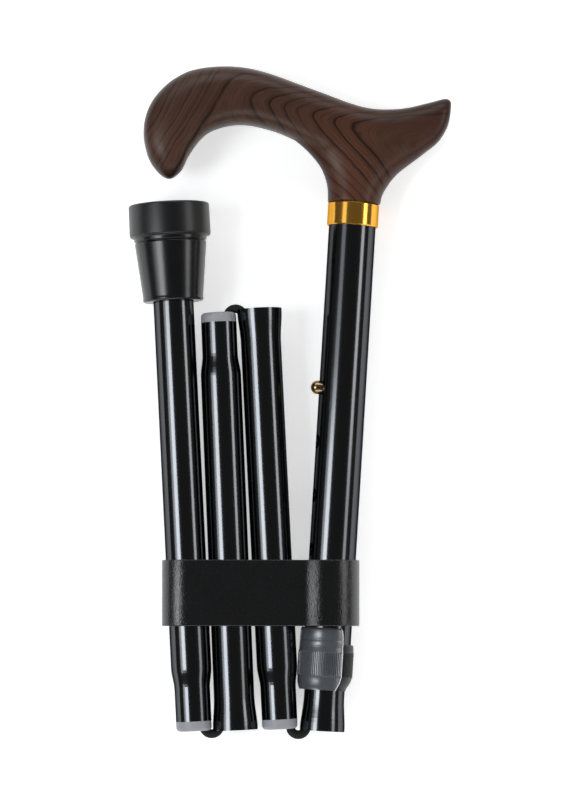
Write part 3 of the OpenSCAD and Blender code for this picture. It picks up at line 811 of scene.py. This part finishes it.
def rib_depth(z, angle):
    """Narrow grooves between flat ribs."""
    if not RIB_LOW + 0.3 < z < RIB_HIGH - 0.3:
        return 0.0
    return RIB_DEPTH * max(0.0, math.cos(RIBS * angle))


def polar(r, angle, z):
    return Vector((r * math.cos(angle), r * math.sin(angle), z)) * MM


def nut_shell():
    """Grey half shell with slanted corners and softened edges; its grey is painted light on the nut's lit side,
    and a painted highlight runs along its front edge.
    """
    steps = RIBS * 4
    bm = bmesh.new()
    rings = []
    top = SHELL_TOP
    levels = list(nut_levels(top))
    for line in SHELL_LINES:
        levels[-3:-3] = [(line - 0.35, 0.2), (line - 0.1, 0.3), (line + 0.1, 0.3), (line + 0.35, 0.2)]
    levels[-1:-1] = [(top - 0.25, 0.65)]
    for z, inset in levels:
        inset = min(inset, 0.9)
        cut_back = 2.6 * max(0.0, 1 - z / 5.9) ** 1.3 + 1.2 * max(0.0, 1 - (top - z) / 3.2) ** 1.6
        half = math.pi / 2 - cut_back / NUT_R
        swell = SHELL_SWELL * min(1.0, z / 3.0, (top - z) / 9.0)
        outer, inner = [], []
        for i in range(steps + 1):
            swing = -half + 2 * half * i / steps
            edge = (half - abs(swing)) * NUT_R
            soften = 0.5 * max(0.0, 1 - edge / 0.8) ** 2
            angle = SHELL_MIDDLE + swing
            proud = swell * max(0.0, -math.cos(angle)) ** 2
            outer.append(polar(NUT_R + proud - inset - soften - rib_depth(z, angle), angle, z))
            inner.append(polar(NUT_R - inset - SHELL_T, angle, z))
        rings.append(outer + inner[::-1])
    loft(bm, rings)
    # The columns by the shell's front edge take the painted highlight
    for i, face in enumerate(bm.faces):
        column = i % len(rings[0])
        is_painted_rim = steps - RIM_COLUMNS <= column <= steps and i < len(bm.faces) - 2
        face.material_index = 1 if is_painted_rim else 0
    piece = new_piece("nut_grey_shell", bm, PAINTED_LIT_GREY, NUT_FRAME)
    piece.data.materials.append(PAINTED_RIM_HIGHLIGHT)
    smooth(piece.data)
    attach(piece, "lock_nut")
    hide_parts("nut_grip_shell")


def nut_core():
    """Black nut, cut back where the grey shell lies on it."""
    steps = RIBS * 8
    turns = [math.tau * i / steps for i in range(steps)]

    def side(z, inset, angle):
        swing = abs((angle - SHELL_MIDDLE + math.pi) % math.tau - math.pi)
        under_shell = swing < math.pi / 2 + 0.01
        least = (NUT_BORE if z > LIP_H else LIP_BORE) + 0.1
        cut = LIP_SLANT * max(0.0, 1 - z / LIP_H)
        return least if under_shell else max(CORE_R - inset - cut - rib_depth(z, angle), least)

    bm = bmesh.new()
    rings = [[polar(side(z, inset, t), t, z) for t in turns] for z, inset in nut_levels(NUT_H)]
    for r, z in ((NUT_BORE, NUT_H), (NUT_BORE, LIP_H), (LIP_BORE, LIP_H), (LIP_BORE, 0)):
        rings.append([polar(r, t, z) for t in turns])
    loft(bm, rings + rings[:1], closed_ends=False)
    weld(bm)
    piece = new_piece("nut_black_core", bm, BLACK_PLASTIC, NUT_FRAME)
    smooth(piece.data)
    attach(piece, "lock_nut")
    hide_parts("lock_nut")


# Holder band
# How far left of the pocket's middle its front starts to rise, and where it is full
POCKET_FOOT = 13.4
POCKET_BROW = 4.0
# Room round the foot tube, how far the left end's middle lies outside that tube's axis, and the rounding
# of the wall
LEFT_GAP = 0.35
LEFT_REACH = 0.8
WALL_EDGE = 0.45


def band_path(left, pocket, left_r, pocket_r):
    """Closed line round the tubes, as (across, front): round ends, a flat back and a proud pocket."""
    back = pocket_r - POCKET_FRONT
    path = []
    arc = 24
    for i in range(arc + 1):
        a = math.radians(270 - 180 * i / arc)
        path.append((left + left_r * math.cos(a), left_r * math.sin(a)))
    foot, brow = pocket - POCKET_FOOT, pocket - POCKET_BROW
    steps = 96
    for i in range(1, steps):
        x = left + (pocket - left) * i / steps
        line = left_r + (x - left) / (pocket - left) * (back - left_r)
        t = min(max((x - foot) / (brow - foot), 0), 1)
        path.append((x, line + (POCKET_FRONT + pocket_r - line) * t * t * (3 - 2 * t)))
    for i in range(arc + 1):
        a = math.radians(90 - 180 * i / arc)
        path.append((pocket + pocket_r * math.cos(a), POCKET_FRONT + pocket_r * math.sin(a)))
    for i in range(1, steps // 2):
        x = pocket + (left - pocket) * i / (steps // 2)
        path.append((x, -back + (pocket - x) / (pocket - left) * (back - left_r)))
    return path


def band():
    low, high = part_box("holder_band")
    height = (high[1] - low[1]) / MM
    middle_y = (low[1] + high[1]) / 2
    foot_low, foot_high = tube_ends("foot_tube")
    at_band = (middle_y - foot_low.y) / (foot_high.y - foot_low.y)
    left_tube = foot_low.lerp(foot_high, at_band)
    right_tube = AXIS_POINT + UP * ((middle_y - AXIS_POINT.y) / UP.y)
    span = (left_tube - right_tube).dot(ACROSS) / MM
    left_r, pocket_r = TUBE_R + LEFT_GAP, UPPER_R + POCKET_GAP
    path = band_path(span - LEFT_REACH, 0.0, left_r, pocket_r)
    top = height / 2
    start = (0.4, -top)
    corners = [start, (BAND_T, -top), (BAND_T, top), (0, top), (0, -top), start]
    wall = rounded(corners, WALL_EDGE, 4)[:-1]
    rings = []
    count = len(path)
    for i, (x, z) in enumerate(path):
        before, after = path[i - 1], path[(i + 1) % count]
        run = Vector((after[0] - before[0], after[1] - before[1])).normalized()
        out = Vector((-run.y, run.x))
        rings.append([Vector((x + out.x * t, y, z + out.y * t)) * MM for t, y in wall])
    bm = bmesh.new()
    loft(bm, rings + rings[:1], closed_ends=False)
    weld(bm)
    piece = new_piece("stretch_band", bm, BAND_RUBBER, basis(ACROSS, NORTH, FRONT, right_tube))
    smooth(piece.data)
    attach(piece, "holder_band")
    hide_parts("holder_band")


# Floor, lights and camera
# Half the floor's width in metres, its depth under the part in millimetres, and the glow that makes it
# white, which shows only to the camera and in reflections
FLOOR_HALF = 12.0
FLOOR_DROP = 0.3
FLOOR_GLOW = 0.52
WORLD_LIGHT = 0.08
COOL_WHITE = (0.93, 0.965, 1.0)


def floor():
    tree = Tree("pale_floor")
    tone = tree.noise(tree.coords(), 0.004)
    tint = tree.ramp(tone, (0.0, grey(0.93)), (1.0, grey(0.95)))
    rays = tree.add("ShaderNodeLightPath").outputs
    seen = tree.math("MAXIMUM", rays["Is Glossy Ray"], rays["Is Transmission Ray"])
    seen = tree.math("MAXIMUM", rays["Is Camera Ray"], seen)
    glow = tree.math("MULTIPLY", seen, FLOOR_GLOW)
    tree.finish(
        Base_Color=tint, Roughness=0.9, Specular_IOR_Level=0.1, Emission_Color=grey(1.0),
        Emission_Strength=glow)
    mesh = bpy.data.meshes.new("floor")
    half = FLOOR_HALF
    corners = [(-half, -half, 0), (half, -half, 0), (half, half, 0), (-half, half, 0)]
    mesh.from_pydata(corners, [], [(0, 1, 2, 3)])
    mesh.materials.append(tree.material)
    piece = bpy.data.objects.new("floor", mesh)
    piece.location.z = -FLOOR_DROP * MM
    bpy.context.scene.collection.objects.link(piece)


def softbox(name, azimuth, tilt, distance, size, radiance, shift=0.0, colour=(1.0, 1.0, 1.0)):
    """Area light that faces the object from tilt degrees off the vertical.

    Azimuth 0 is +X. The size is across and along, the shift is along +Y, and both are in metres.
    """
    data = bpy.data.lights.new(name, "AREA")
    data.shape = "RECTANGLE"
    data.size, data.size_y = size
    data.color = colour
    data.energy = radiance * math.pi * size[0] * size[1]
    lamp = bpy.data.objects.new(name, data)
    a, t = math.radians(azimuth), math.radians(tilt)
    toward = Vector((math.sin(t) * math.cos(a), math.sin(t) * math.sin(a), math.cos(t)))
    sideways = Vector((-math.sin(a), math.cos(a), 0.0))
    place = toward * distance + NORTH * shift
    lamp.matrix_world = basis(sideways.cross(toward), sideways, toward, place)
    bpy.context.scene.collection.objects.link(lamp)


def lights():
    left = {"azimuth": 180, "distance": 1.3, "colour": COOL_WHITE}
    softbox("left_strip", tilt=38, size=(0.42, 0.49), radiance=8.6, shift=-0.117, **left)
    softbox("left_strip_side", tilt=53, size=(0.28, 0.58), radiance=2.8, shift=-0.16, **left)
    softbox("left_strip_end", tilt=38, size=(0.42, 0.3), radiance=1.3, shift=0.28, **left)
    right = {"azimuth": 0, "tilt": 57, "distance": 1.3, "size": (0.32, 0.75)}
    softbox("right_strip", radiance=4.2, shift=0.357, **right)
    softbox("right_strip_end", radiance=2.6, shift=-0.393, **right)
    ends = {"tilt": 62, "distance": 1.5, "size": (0.8, 1.9), "radiance": 2.7}
    softbox("north_box", azimuth=90, **ends)
    softbox("south_box", azimuth=270, **ends)
    world = bpy.data.worlds.new("studio")
    world.use_nodes = True
    backdrop = world.node_tree.nodes["Background"]
    backdrop.inputs["Color"].default_value = (1.0, 1.0, 1.0, 1.0)
    backdrop.inputs["Strength"].default_value = WORLD_LIGHT
    bpy.context.scene.world = world


def camera():
    data = bpy.data.cameras.new("camera")
    data.sensor_fit = "VERTICAL"
    data.sensor_height = SENSOR_H
    field = PHOTO_H / PX_PER_MM
    data.lens = SENSOR_H * CAMERA_DISTANCE / field
    eye = bpy.data.objects.new("camera", data)
    x, y = PHOTO_MIDDLE
    tilt = math.radians(CAMERA_TILT)
    eye.location = Vector((x * MM, y * MM, AXIS_POINT.z))
    eye.location += Vector((0.0, -math.sin(tilt), math.cos(tilt))) * CAMERA_DISTANCE * MM
    eye.rotation_euler.x = tilt
    bpy.context.scene.collection.objects.link(eye)
    bpy.context.scene.camera = eye


camera()
lights()
floor()
dress_nodes()
handle()
ferrule()
cord()
nut_shell()
nut_core()
band()
bpy.context.scene.view_settings.view_transform = "Standard"
